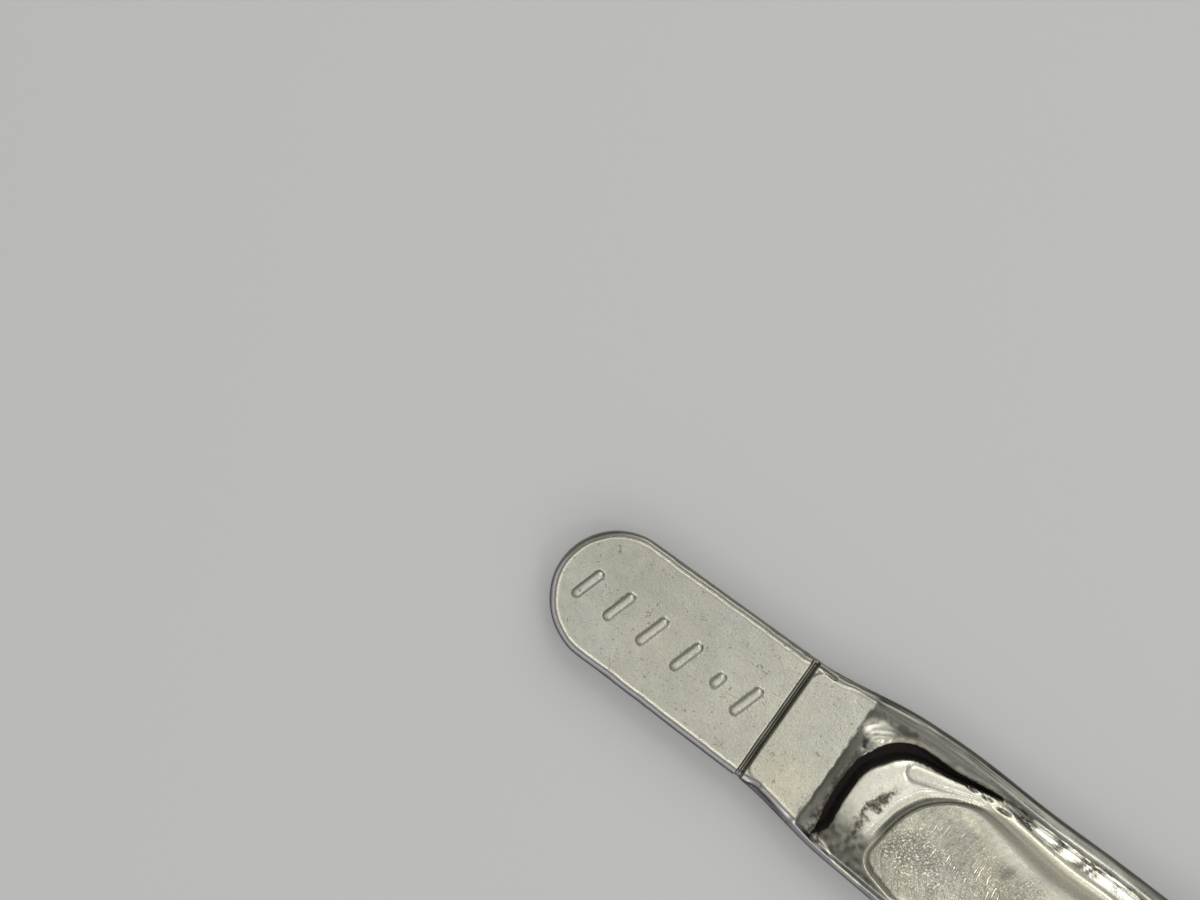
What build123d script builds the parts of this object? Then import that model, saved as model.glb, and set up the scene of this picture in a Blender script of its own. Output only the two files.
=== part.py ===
from build123d import *
import os
from math import cos, pi, radians, sin, tan

# Overall size of the cast bar, in millimetres
bar_length = 330.0
bar_height = 7.0
side_draft = 13.0
foot_chamfer = 0.7

# Flat tab at the marked end, half round at its tip
tab_length = 37.4
tab_width = 20.0

# Notch across the bar between the tab and the pad
notch_width = 1.1
notch_depth = 1.0

# Pad behind the notch, and the swell of the sides up to the full body width
pad_length = 9.0
body_width = 23.6
swell_length = 16.0
end_corner = 5.0

# Rounded upper edge all round the bar, in flat steps of equal angle
edge_radius = 1.1
edge_steps = 3

# Slow and quick waves of the body's sides and rims
slow_wave_height = 0.4
slow_wave_length = 62.0
quick_wave_height = 0.12
quick_wave_length = 23.0
wave_point_spacing = 6.0
far_phase = 1.77
near_phase = 1.3

# Open-poured top: a sunken surface inside a raised rim
far_rim_width = 2.2
near_rim_width = 1.3
rim_slope = 1.0
pour_drop = 0.7
end_slope = 2.2
end_rim = 3.4
pad_corner = 1.5
near_nose_corner = 1.6
far_nose_corner = 7.5

# Shrinkage cavity that opened between the pad and the metal poured last
cavity_width = 1.5
cavity_depth = 2.2
cavity_reach = 18.6
cavity_near_gap = 0.3

# Shrinkage furrow at the foot of the far rim
furrow_width = 1.7
furrow_floor = 0.7
furrow_depth = 0.6
furrow_inset = 0.2
furrow_start = 21.0
furrow_taper = 12.0
furrow_end_margin = 8.0

# Trough down the middle, with sloping banks and a wide lip at the nose
trough_depth = 1.3
bank_width = 2.0
near_lip_width = 0.6
far_lip_width = 1.6
nose_lip_width = 4.8
rear_lip_width = 5.0
trough_near_corner = 4.0
trough_far_corner = 8.0
trough_rear_corner = 3.0

# Places along and above the bar, worked out from the sizes above
notch_centre = tab_length + notch_width / 2
pad_start = tab_length + notch_width
pad_end = pad_start + pad_length
pour_level = bar_height - pour_drop
rim_difference = near_rim_width - far_rim_width
floor_inset = far_rim_width + rim_slope
near_floor_inset = near_rim_width + rim_slope
cavity_wall = pad_end + end_slope
nose = cavity_wall + cavity_width
cavity_tip = cavity_wall + cavity_reach
pour_end = bar_length - end_rim
edge_foot = bar_height - edge_radius
tip_x = -bar_length / 2

# How far a cut runs out past the surface that it opens in
clear = 1.0
overcut = 0.25


def half_width(x):
    """Half the bar's width at its rim, growing smoothly from the tab to the body."""
    share = min(1.0, max(0.0, (x - notch_centre) / swell_length))
    ease = share * share * (3 - 2 * share)
    return tab_width / 2 + ease * (body_width - tab_width) / 2


def wave(x, phase):
    """Offset of a side from its straight line, fading in along the swell."""
    fade = min(1.0, max(0.0, (x - pad_start) / swell_length))
    slow = slow_wave_height * sin(2 * pi * x / slow_wave_length + phase)
    quick = quick_wave_height * sin(2 * pi * x / quick_wave_length + 2 * phase)
    return fade * (slow + quick)


def far_side(x, inset):
    return half_width(x) + wave(x, far_phase) - inset


def near_side(x, inset):
    return inset - half_width(x) - wave(x, near_phase)


def wavy_points(side, start, end, inset):
    """Points of one side between two places along the bar."""
    count = max(3, round(abs(end - start) / wave_point_spacing))
    places = [start + (end - start) * step / count for step in range(count + 1)]
    return [(x, side(x, inset)) for x in places]


def rounded_ring(start, end, inset, corners, near_extra=0.0, far_extra=0.0):
    """Closed plan outline with two wavy sides and three corner sizes: near nose, far nose and rear."""
    near_corner, far_corner, rear_corner = corners
    far_points = wavy_points(far_side, start + far_corner, end - rear_corner, inset + far_extra)
    near_points = wavy_points(near_side, end - rear_corner, start + near_corner, inset + near_extra)
    Spline(*far_points, tangents=[(1, 0), (1, 0)])
    rear_far = TangentArc(far_points[-1], (end, far_points[-1][1] - rear_corner), tangent=(1, 0))
    rear_near = TangentArc(near_points[0], (end, near_points[0][1] + rear_corner), tangent=(1, 0))
    Line(rear_far @ 1, rear_near @ 1)
    Spline(*near_points, tangents=[(-1, 0), (-1, 0)])
    nose_near = TangentArc(near_points[-1], (start, near_points[-1][1] + near_corner), tangent=(-1, 0))
    nose_far = TangentArc(far_points[0], (start, far_points[0][1] - far_corner), tangent=(-1, 0))
    Line(nose_near @ 1, nose_far @ 1)


def body_outline(inset):
    """Plan outline of the pad and body, square at the notch and rounded at the rear."""
    rear = bar_length - inset
    corner = end_corner - inset
    far_points = wavy_points(far_side, notch_centre, rear - corner, inset)
    near_points = wavy_points(near_side, rear - corner, notch_centre, inset)
    Spline(*far_points, tangents=[(1, 0), (1, 0)])
    rear_far = TangentArc(far_points[-1], (rear, far_points[-1][1] - corner), tangent=(1, 0))
    rear_near = TangentArc(near_points[0], (rear, near_points[0][1] + corner), tangent=(1, 0))
    Line(rear_far @ 1, rear_near @ 1)
    Spline(*near_points, tangents=[(-1, 0), (-1, 0)])
    Line(near_points[-1], far_points[0])


def tab_outline(inset):
    """Plan outline of the tab, half round at the tip and square at the notch."""
    half = tab_width / 2 - inset
    centre = tab_width / 2
    Line((notch_centre, -half), (centre, -half))
    ThreePointArc((centre, -half), (inset, 0), (centre, half))
    Line((centre, half), (notch_centre, half))
    Line((notch_centre, half), (notch_centre, -half))


def furrow_outline(half):
    """Long lens that follows the far rim at a set distance from it."""
    middle = floor_inset + furrow_inset
    start = cavity_wall + furrow_start
    end = pour_end - furrow_end_margin
    first = (start, far_side(start, middle))
    last = (end, far_side(end, middle))
    outer = wavy_points(far_side, start + furrow_taper, end - furrow_taper, middle - half)
    inner = wavy_points(far_side, start + furrow_taper, end - furrow_taper, middle + half)
    Spline(first, *outer, last)
    Spline(last, *reversed(inner), first)


def level_plane(height):
    """Horizontal plane at a height, with its origin under the tab's tip."""
    return Plane(origin=(tip_x, 0, height))


def blank_levels():
    """Height and inset of each outline, from the foot to the rounded upper edge."""
    slope = tan(radians(side_draft))
    levels = [(0, edge_foot * slope + foot_chamfer)]
    levels.append((foot_chamfer, (edge_foot - foot_chamfer) * slope))
    for step in range(edge_steps + 1):
        angle = pi / 2 * step / edge_steps
        levels.append((edge_foot + edge_radius * sin(angle), edge_radius * (1 - cos(angle))))
    return levels


with BuildPart() as tin_bar:
    # Blank as it leaves the mould, with drafted sides and a rounded upper edge
    for outline in (tab_outline, body_outline):
        for level, inset in blank_levels():
            with BuildSketch(level_plane(level)):
                with BuildLine():
                    outline(inset)
                make_face()
        loft(ruled=True)

    # Notch between the tab and the pad
    with BuildSketch(Plane.XZ.offset(-body_width / 2)):
        with BuildLine():
            left = (tip_x + tab_length, bar_height)
            bottom = (tip_x + notch_centre, bar_height - notch_depth)
            right = (tip_x + pad_start, bar_height)
            Polyline(left, bottom, right, close=True)
        make_face()
    extrude(amount=body_width, mode=Mode.SUBTRACT)

    # Sunken pour surface, its walls sloping down from the pad and the rims
    floor_corners = (near_nose_corner, far_nose_corner, pad_corner)
    wall_corners = (pad_corner, pad_corner, pad_corner)
    with BuildSketch(level_plane(pour_level)):
        with BuildLine():
            rounded_ring(cavity_wall, pour_end - rim_slope, floor_inset, floor_corners, rim_difference)
        make_face()
    for level in (bar_height, bar_height + clear):
        with BuildSketch(level_plane(level)):
            with BuildLine():
                rounded_ring(pad_end, pour_end, far_rim_width, wall_corners, rim_difference)
            make_face()
    loft(ruled=True, mode=Mode.SUBTRACT)

    # Crescent cavity along the foot of the pad's slope and round to the far rim
    with BuildSketch(level_plane(pour_level - cavity_depth)):
        with BuildLine():
            near_y = near_side(cavity_wall, near_floor_inset) + cavity_near_gap
            far_y = far_side(cavity_wall + far_nose_corner, floor_inset)
            tip = (cavity_tip, far_side(cavity_tip, floor_inset))
            outer = FilletPolyline((cavity_wall, near_y), (cavity_wall, far_y), tip, radius=far_nose_corner)
            inner_far_y = far_y - cavity_width
            inner_radius = far_nose_corner - cavity_width
            inner = FilletPolyline((nose, near_y), (nose, inner_far_y), tip, radius=inner_radius)
            Line(outer @ 0, inner @ 0)
        make_face()
    extrude(amount=cavity_depth + overcut, mode=Mode.SUBTRACT)

    # Furrow at the foot of the far rim, pointed at both ends
    furrow_levels = ((-furrow_depth, furrow_floor / 2), (overcut, furrow_width / 2))
    for rise, half in furrow_levels:
        with BuildSketch(level_plane(pour_level + rise)):
            with BuildLine():
                furrow_outline(half)
            make_face()
    loft(ruled=True, mode=Mode.SUBTRACT)

    # Trough with a rounded start behind the nose lip and sloping banks
    trough_corners = (trough_near_corner, trough_far_corner, trough_rear_corner)
    for rise, bank in ((-trough_depth, bank_width), (0, 0), (overcut, 0)):
        with BuildSketch(level_plane(pour_level + rise)):
            with BuildLine():
                start = nose + nose_lip_width + bank
                end = pour_end - rear_lip_width - bank
                inset = floor_inset + bank
                near_extra = rim_difference + near_lip_width
                rounded_ring(start, end, inset, trough_corners, near_extra, far_lip_width)
            make_face()
    loft(ruled=True, mode=Mode.SUBTRACT)

os.makedirs("parts", exist_ok=True)
tin_bar.part.label = "tin_bar"
export_step(tin_bar.part, "parts/tin_bar.step")
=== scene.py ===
import bpy
import numpy as np
from mathutils import Matrix, Vector


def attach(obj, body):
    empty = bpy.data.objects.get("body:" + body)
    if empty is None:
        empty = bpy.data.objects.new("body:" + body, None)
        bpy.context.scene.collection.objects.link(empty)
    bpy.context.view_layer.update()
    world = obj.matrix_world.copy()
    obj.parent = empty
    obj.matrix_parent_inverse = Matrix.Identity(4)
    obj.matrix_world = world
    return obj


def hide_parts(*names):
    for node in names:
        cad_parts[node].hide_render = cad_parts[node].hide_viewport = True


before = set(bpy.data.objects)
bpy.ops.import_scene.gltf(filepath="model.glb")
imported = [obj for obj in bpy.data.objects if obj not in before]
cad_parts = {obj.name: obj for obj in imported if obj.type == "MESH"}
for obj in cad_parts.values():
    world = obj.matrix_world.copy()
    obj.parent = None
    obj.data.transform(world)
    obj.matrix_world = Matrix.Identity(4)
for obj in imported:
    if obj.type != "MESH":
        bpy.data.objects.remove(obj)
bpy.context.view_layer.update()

# The shape below is worked out in millimetres from the tab's tip, and its mesh is made in metres
MM = 0.001

# Overall shape, as in the solid that this surface dresses. X runs along the bar from the tab's tip,
# Y from the near side (negative) to the far side, and Z up from the underside
BAR_LENGTH = 330.0
BAR_HEIGHT = 7.0
EDGE_FOOT = 5.9
FACE_HEIGHT = 6.65
TIP_RADIUS = 10.0
SIDE_DRAFT = np.radians(13.0)
FOOT_CHAMFER = 0.7
REAR_CORNER = 5.0
SIDE_LEVELS = (4.7, 3.4, 2.0, FOOT_CHAMFER)
NOTCH_START = 37.4
NOTCH_WIDTH = 1.1
NOTCH_DEPTH = 1.0
PAD_END = 47.5
PAD_CORNER = 1.9
PAD_BEVEL = 0.55
BODY_WIDTH = 23.6
SWELL_LENGTH = 16.0
NOTCH_CENTRE = NOTCH_START + NOTCH_WIDTH / 2
PAD_START = NOTCH_START + NOTCH_WIDTH
SLOW_WAVE = (0.4, 62.0)
QUICK_WAVE = (0.12, 23.0)
FAR_PHASE = 1.77
NEAR_PHASE = 1.3

# Rounded shoulders, how far the rims stay below the full height, and the lines along the faces'
# edges as inset, width and height
FACE_SHOULDER = 1.0
RIM_SHOULDER = 1.5
CROWN_DROP = 0.03
EDGE_LINES = ((1.15, 0.15, 0.11), (0.86, 0.13, -0.08))

# Crescent cavity: its outer edge, its width and its depth. Its arm runs at a set distance from the
# far edge and draws nearer to it up to the tip, and its painted shade ends between two heights
CAVITY_START = 49.6
CAVITY_BOW = 0.022
CAVITY_BOW_CENTRE = -2.0
CAVITY_BOW_MOST = 0.8
CAVITY_CORNER = 6.2
CAVITY_ARM = 3.7
CAVITY_ARM_DRAW = 1.25
CAVITY_WIDTH = 1.5
CAVITY_LEAST_WIDTH = 0.12
CAVITY_CORNER_EXTRA = 0.7
CAVITY_TIP = 70.5
CAVITY_DEPTH = 2.6
CAVITY_WALL = 0.22
CAVITY_SHADE_TOP = (5.60, 5.82)
SLOPE_FOOT = 5.9
COVE_RADIUS = 3.0
FAR_CREST = 1.7
NEAR_RIM = 1.1

# Poured surface: the lip round the hollow, the ridges along its edge as place, width and height,
# and the furrow at the foot of the far rim
LIP_HEIGHT = 6.55
LIP_ROLL = 2.4
TROUGH_HEIGHT = 4.95
HOLLOW_START = 58.9
HOLLOW_SLANT = 0.2
HOLLOW_CORNER = 8.0
HOLLOW_NEAR_CORNER = 3.0
HOLLOW_REAR_CORNER = 4.0
FAR_BANK = 5.7
FAR_BANK_GROWTH = 1.4
NEAR_BANK = 3.0
NEAR_BANK_LOSS = 0.8
REAR_BANK = 12.0
LIP_LINES = ((-0.75, 0.17, 0.08), (-1.15, 0.18, -0.18), (-1.60, 0.24, 0.14), (-2.2, 0.4, -0.10))
FURROW_LINE = 3.0
FURROW_DEPTH = 0.55
RING_BEND = 0.045
RING_CENTRE = -1.0

# Small holes in the lip, as middle along and across the bar, half length and half width
HOLES = (
    (64.0, 8.00, 0.9, 0.22), (66.3, 8.20, 0.9, 0.22),
    (69.0, 8.10, 1.3, 0.34), (71.8, 8.70, 1.0, 0.24),
)
HOLE_LEAN = 0.12
HOLE_DEPTH = 0.5

# Flat drip on the lip, from its round end to its point
DRIP_START = (56.9, 5.3)
DRIP_END = (66.0, 8.3)
DRIP_RADIUS = 1.25

# Tally strokes on the tab: places along it, half lengths and their common form
STROKE_PLACES = (5.4, 11.0, 16.9, 22.9, 28.4, 33.2)
STROKE_HALVES = (2.1, 2.1, 2.1, 2.1, 0.6, 2.1)
STROKE_ROW = -0.6
STROKE_LEAN = 0.3
STROKE_RADIUS = 0.74
STROKE_HEIGHT = 0.52

# Finish: colours as they render under plain light, the lilac being a painted reflection of the table and
# the cream also serving for painted highlights, roughness of each kind of surface, and the spacing and
# heights of the fine relief
NEUTRAL_TIN = (0.42, 0.412, 0.352, 1.0)
REFLECTED_LILAC = (0.45, 0.44, 0.46, 1.0)
CREAM_TIN_AND_HIGHLIGHT = (0.54, 0.51, 0.40, 1.0)
DIRT = (0.046, 0.034, 0.017, 1.0)
# Near-black painted shade in the deep cavity
CAVITY_SHADE = (0.012, 0.007, 0.005, 1.0)
SATIN_ROUGHNESS = 0.38
GLOSS_ROUGHNESS = 0.18
GRIT_ROUGHNESS = 0.27
RIPPLE_LENGTH = 0.65
STREAK_SPACING = 0.66
RELIEF_HEIGHTS = {"peel": 0.045, "fine": 0.048, "pits": -0.035, "ripples": 0.008, "soft": 0.07,
                  "drawn_out": 0.07, "crust": 0.30, "crust_pits": -0.05, "streaks": 0.14, "drawn": 0.006}

# Painted ovals, as middle along and across the bar and half sizes. The stains also have a strength
WARM_OVAL = (44.0, -6.5, 4.5, 5.0)
# The cove's oval is a painted highlight and the shade's oval a painted shade
COVE_OVAL = (50.1, 6.9, 1.8, 1.4)
SHADE_OVAL = (53.5, 9.0, 2.2, 0.65)
CREAM_OVAL = (67.8, 4.6, 3.6, 1.0)
STIPPLE_OVAL = (62.8, -4.0, 4.6, 2.9)
STAINS = (
    ((55.3, -1.0, 0.90, 1.45), 2.9),
    ((54.5, -4.4, 0.8, 3.0), 2.0),
    ((56.1, 1.9, 0.8, 1.3), 0.8),
)

# Painted lines: dark marks in the trough as start, end, width and tone, where its streaks begin as
# start and end, and the furrow's first painted highlights as place and half length
MARKS = (
    ((73.6, 1.2), (74.0, 2.0), 0.9, 0.44),
    ((73.8, 1.7), (76.6, 5.0), 0.35, 0.36),
    ((76.0, 3.8), (79.2, 4.4), 0.30, 0.40),
)
STREAK_RUN = ((65.2, -1.5), (74.6, -1.5))
FAINT_STREAK_RUN = ((64.5, 1.0), (71.0, 0.8))
FIRST_GLINTS = ((74.8, 2.0), (78.3, 1.3), (83.9, 0.9), (87.2, 2.1))

# Finish of the drafted sides and the underside, by the same names as the painted masks
SIDE_PAINT = {"tone": 1.3, "hue": -0.3, "polish": 0.2, "grit": 0.0, "grain": 0.6,
              "pit": 0.0, "ring": 0.0, "stain": 0.0, "stipple": 0.0, "streaks": 0.0}

# Room, in metres: floor, wall, ceiling and window colours, and between which shares of a direction
# each fades in. The soft lamps follow as name, place, size, strength and colour
FLOOR_COLOUR = (0.490, 0.493, 0.500, 1.0)
FLOOR_HALF = 3.0
CEILING = (1.02, 1.01, 0.99, 1.0)
NEAR_WALLS = (0.58, 0.57, 0.56, 1.0)
TAB_WALL = (0.42, 0.42, 0.41, 1.0)
REAR_WALL = (0.75, 0.74, 0.72, 1.0)
FAR_WALLS = (0.22, 0.22, 0.22, 1.0)
WINDOW = (1.95, 1.93, 1.87, 1.0)
WINDOW_RISE = (0.34, 0.48)
WINDOW_SIDES = (0.32, 0.58)
WINDOW_FRONT = (0.30, 0.52)
CEILING_RISE = (0.55, 0.93)
NEAR_TURN = (0.1, 0.8)
FAR_TURN = (0.1, 0.7)
END_TURN = (-0.3, 0.3)
BACKDROP = (0.50, 0.50, 0.505, 1.0)
LAMP_TARGET = (-0.11, 0.0, 0.0)
LAMPS = (
    ("key_lamp", (-0.18, 0.30, 0.48), (0.14, 0.12), 3.5, (1.0, 0.98, 0.94)),
    ("rear_lamp", (0.13, 0.04, 0.45), (0.10, 0.08), 6.0, (1.0, 0.99, 0.97)),
    ("side_lamp", (0.30, -0.25, 0.42), (0.14, 0.14), 3.5, (0.90, 0.96, 1.0)),
)

# Camera, in metres, as fitted to the bar in the photograph
CAMERA_PLACE = (-0.14636, 0.01367, 0.13824)
CAMERA_VIEW = (-0.175, 0.02, -0.9844)
CAMERA_UP = (-0.5696, 0.8135, 0.1178)
CAMERA_LENS = 27.0
CAMERA_SENSOR = 36.0

# Mesh spacing: ends of the spans along the bar and the step in each, then the steps round the ends,
# the shares of the way in at which the underside's rings lie, and the columns across
SPANS = ((36.8, 0.2), (39.2, 0.12), (46.6, 0.3), (60.0, 0.16), (75.0, 0.2), (100.0, 0.32))
LONG_STEP = 1.15
TIP_STEPS = 104
REAR_STEPS = 60
UNDERSIDE_SHARES = (0.3, 0.65)
RIM_COLUMNS = ((1.5, 12), (8.0, 36), (BODY_WIDTH / 2, 13))
LATTICE = 256


def smooth(start, end, value):
    """0 before start, 1 after end, with an easy change between them."""
    share = np.clip((value - start) / (end - start), 0.0, 1.0)
    return share * share * (3 - 2 * share)


def ridge(centre, width, value):
    """1 at the centre, falling off to both sides within about one width."""
    return np.exp(-(((value - centre) / width) ** 2))


def lay(below, share, value):
    """One surface or layer of paint over another, by the share in which it covers."""
    return below * (1 - share) + value * share


def relief_lines(lines, value, stretch=1.0):
    """Sum of raised and sunken lines, each given by its place, width and height."""
    return sum(height * ridge(place * stretch, width, value) for place, width, height in lines)


def oval(x, y, place):
    """0 in the middle of a painted oval and 1 along its outline."""
    middle_x, middle_y, half_length, half_breadth = place
    return np.hypot((x - middle_x) / half_length, (y - middle_y) / half_breadth)


def noise(x, y, size, seed):
    """Smooth random field from -1 to 1 whose patches are about one size across."""
    lattice = np.random.default_rng(seed).uniform(-1, 1, (LATTICE, LATTICE))
    u = np.asarray(x) / size
    v = np.asarray(y) / size
    i = np.floor(u).astype(int)
    j = np.floor(v).astype(int)
    across = smooth(0, 1, u - i)
    along = smooth(0, 1, v - j)
    left, right = i % LATTICE, (i + 1) % LATTICE
    low, high = j % LATTICE, (j + 1) % LATTICE
    first = lattice[left, low] * (1 - across) + lattice[right, low] * across
    second = lattice[left, high] * (1 - across) + lattice[right, high] * across
    return first * (1 - along) + second * along


def half_width(x):
    """Half the bar's width at its rim, growing smoothly from the tab to the body."""
    return TIP_RADIUS + smooth(0, SWELL_LENGTH, x - NOTCH_CENTRE) * (BODY_WIDTH / 2 - TIP_RADIUS)


def wave(x, phase):
    """Offset of a side from its straight line, fading in along the swell."""
    fade = np.clip((x - PAD_START) / SWELL_LENGTH, 0, 1)
    slow = SLOW_WAVE[0] * np.sin(2 * np.pi * x / SLOW_WAVE[1] + phase)
    quick = QUICK_WAVE[0] * np.sin(2 * np.pi * x / QUICK_WAVE[1] + 2 * phase)
    return fade * (slow + quick)


def far_edge(x):
    return half_width(x) + wave(x, FAR_PHASE)


def near_edge(x):
    return -half_width(x) - wave(x, NEAR_PHASE)


def corner_inset(first, second, radius):
    """Distance in from an outline of two edges that meet in a round corner."""
    away = np.hypot(np.maximum(radius - first, 0), np.maximum(radius - second, 0))
    return np.where((first < radius) & (second < radius), radius - away, np.minimum(first, second))


def edge_inset(x, y):
    """Distance in from the bar's outline, round the tip and the rear corners too."""
    side = np.minimum(far_edge(x) - y, y - near_edge(x))
    tip = TIP_RADIUS - np.hypot(x - TIP_RADIUS, y)
    side = np.where(x < TIP_RADIUS, tip, side)
    return corner_inset(BAR_LENGTH - x, side, REAR_CORNER)


def round_rise(inset, radius):
    """Quarter-round rise from 0 at the outline to 1 at the radius."""
    share = np.clip(inset / radius, 0, 1)
    return np.sqrt(np.clip(1 - (1 - share) ** 2, 0, 1))


def flat_face(x, y, inset):
    """Tab and pad: level faces with a thin bead and a rounded shoulder at their edges."""
    uneven = 0.030 * noise(x, y, 7.0, 11) + 0.014 * noise(x, y, 2.6, 12)
    uneven = uneven + 0.008 * noise(x, y, 1.1, 10)
    inset = inset + edge_wander(x, y)
    shoulder = EDGE_FOOT + (FACE_HEIGHT - EDGE_FOOT) * round_rise(inset, FACE_SHOULDER)
    return shoulder + relief_lines(EDGE_LINES, inset) + uneven * smooth(0.9, 2.5, inset)


def edge_wander(x, y):
    """Small wobble of the lines along the faces' edges, and the bevel that widens beside the pad."""
    folded = 1 + 1.8 * smooth(27, 35, x) * smooth(2, 6, y)
    wider = PAD_BEVEL * smooth(PAD_START - 0.4, PAD_START + 2.5, x) * smooth(0, -4, y)
    return folded * (0.07 * noise(x, y, 3.0, 13) + 0.03 * noise(x, y, 1.1, 14)) - wider


def pad_corner(x, inset):
    """Distance in from the pad's rounded corner by the notch."""
    return corner_inset(x - PAD_START + 0.1, inset - FACE_SHOULDER, PAD_CORNER)


def stroke_relief(x, y):
    """Plain raised tally strokes in place of a marking, and how near each point is to one."""
    share = np.full(np.shape(x), 9.0)
    for middle, half in zip(STROKE_PLACES, STROKE_HALVES):
        lean = np.array((np.sin(STROKE_LEAN), np.cos(STROKE_LEAN)))
        along = (x - middle) * lean[0] + (y - STROKE_ROW) * lean[1]
        across = (x - middle) * lean[1] - (y - STROKE_ROW) * lean[0]
        beyond = np.maximum(np.abs(along) - half, 0)
        share = np.minimum(share, np.hypot(beyond, across) / STROKE_RADIUS)
    crown = np.clip(1 - share ** 2, 0, 1) ** 0.65
    return STROKE_HEIGHT * crown, share


def notch_relief(x, y, inset):
    """Depth of the groove between tab and pad, and of the rounded pad corners beside it."""
    groove = smooth(0.0, 0.28, NOTCH_WIDTH / 2 + 0.06 - np.abs(x - notch_line(y)))
    corner = pad_corner(x, inset + edge_wander(x, y))
    fallen = (1 - smooth(-0.1, 0.35, corner)) * (x > NOTCH_CENTRE) * (x < PAD_START + 3)
    return NOTCH_DEPTH * groove + 0.40 * fallen * smooth(0.2, 1.0, inset)


def notch_line(y):
    return NOTCH_CENTRE + 0.05 * noise(y * 0, y, 4.0, 21)


def cavity_insets(x, y):
    """Distance in from the cavity's outer edge, and the cavity's width beside each point."""
    bow = np.minimum(CAVITY_BOW * (y - CAVITY_BOW_CENTRE) ** 2, CAVITY_BOW_MOST)
    rough = 0.10 * noise(x, y, 1.3, 31) + 0.07 * noise(x, y, 0.5, 32)
    behind = x - CAVITY_START - bow
    side = far_edge(x) - y - CAVITY_ARM + CAVITY_ARM_DRAW * smooth(60, CAVITY_TIP, x)
    near = y - near_edge(x) - NEAR_RIM
    inward = corner_inset(behind, side, CAVITY_CORNER)
    width = (CAVITY_WIDTH + 0.25 * ridge(-2.0, 4.5, y)) * smooth(-0.4, 4.2, near) ** 0.8
    width = width + CAVITY_CORNER_EXTRA * ridge(53.5, 3.0, x) * smooth(0, 4, y)
    width = width * (1 - smooth(54, CAVITY_TIP, x)) ** 0.6
    return inward + rough * smooth(0.9, -0.3, inward) * smooth(1.0, -1.0, y - 6), width, near


def hollow_inset(x, y):
    """Distance in from the curved edge where the lip falls to the trough."""
    behind = x - HOLLOW_START - HOLLOW_SLANT * (y + 1.2) + 0.12 * noise(x, y, 3.0, 41)
    wander = 0.5 * noise(x, y * 0, 17.0, 42) + 0.25 * noise(x, y * 0, 6.0, 43)
    wander = wander * smooth(70, 90, x)
    far_bank = far_edge(x) - y - FAR_BANK - FAR_BANK_GROWTH * smooth(66, 84, x) - wander
    near_bank = y - near_edge(x) - NEAR_BANK + NEAR_BANK_LOSS * smooth(59, 64, x) + 0.6 * wander
    rear_bank = BAR_LENGTH - REAR_BANK - x
    inward = corner_inset(behind, far_bank, HOLLOW_CORNER)
    inward = corner_inset(inward, near_bank, HOLLOW_NEAR_CORNER)
    return corner_inset(inward, rear_bank, HOLLOW_REAR_CORNER)


def lip_surface(x, y, from_cavity, hollow, near):
    """Smooth lip of the metal poured last, its ridges, its far furrow and the trough."""
    nose = 1 - smooth(62, 76, x)
    far = far_edge(x) - y
    island = corner_inset(from_cavity, near - 0.1, 2.5)
    lip = SLOPE_FOOT - 0.2 + (LIP_HEIGHT - SLOPE_FOOT + 0.2) * round_rise(island + 0.2, LIP_ROLL)
    lip = lip - (0.25 * (1 - nose) + 0.12 * nose * smooth(-3.0, -0.8, hollow))
    lines = relief_lines(LIP_LINES, hollow, ridge_narrowing(y)) * smooth(-6.0, -2.5, y)
    half = 0.5 * nose + 1.4 * (1 - nose)
    fall = smooth(-half * 1.1 - 0.9 * (1 - nose), half * 0.9, hollow)
    floor = TROUGH_HEIGHT + 0.55 * nose * smooth(7.0, 0.0, hollow)
    drop = drip_share(x, y)
    lines = lines * smooth(1.0, 1.4, drop) + 0.10 * smooth(1.0, 0.6, drop)
    lines = lines - 0.07 * ridge(1.0, 0.17, drop)
    height = lay(lip + nose * lines, fall, floor)
    hole = hole_share(x, y)
    height = height - HOLE_DEPTH * smooth(1.1, 0.3, hole) + 0.04 * ridge(1.5, 0.4, hole)
    furrow = furrow_share(x, far)
    swell = 0.10 * noise(x, y, 9.0, 45) + 0.05 * noise(x, y, 3.0, 46)
    arcs = 0.022 * np.sin(np.pi * ring_line(x, y) / RIPPLE_LENGTH) * smooth(0, 0.6, noise(x, y, 8.0, 47))
    return height - FURROW_DEPTH * furrow + (swell + arcs) * smooth(0.0, 2.0, hollow)


def hole_share(x, y):
    """Distance from the nearest of the small holes in the lip, over its half width."""
    share = np.full(np.shape(x), 9.0)
    for middle_x, middle_y, half_length, half_breadth in HOLES:
        lengthwise = (x - middle_x) / half_length
        across = (y - middle_y - HOLE_LEAN * (x - middle_x)) / half_breadth
        share = np.minimum(share, np.hypot(lengthwise, across))
    return share


def from_segment(x, y, start, end):
    """Distance from a straight line between two points, and the share of it passed."""
    run = np.array(end) - np.array(start)
    along = np.clip(((x - start[0]) * run[0] + (y - start[1]) * run[1]) / (run @ run), 0, 1)
    return np.hypot(x - start[0] - along * run[0], y - start[1] - along * run[1]), along


def drip_share(x, y):
    """Distance from the middle of the flat drip on the lip's far side, over its half width."""
    away, along = from_segment(x, y, DRIP_START, DRIP_END)
    return away / (DRIP_RADIUS * (1 - 0.45 * along))


def ridge_narrowing(y):
    """How close together the lip's ridges run: apart at the nose, together at the far side."""
    return 0.35 + 0.65 * smooth(7.5, 3.0, y)


def furrow_share(x, far):
    """1 along the furrow at the foot of the far rim, which opens behind the cavity's tip."""
    line = FURROW_LINE + 0.30 * noise(x, x * 0, 5.0, 44)
    return smooth(66, 72, x) * ridge(line, 0.45 + 0.75 * smooth(70, 82, x), far)


def ring_line(x, y):
    """Coordinate that is level along the arcs in which the trough set."""
    return x - RING_BEND * (y - RING_CENTRE) ** 2 + 0.35 * noise(x, y, 4.0, 63)


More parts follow.
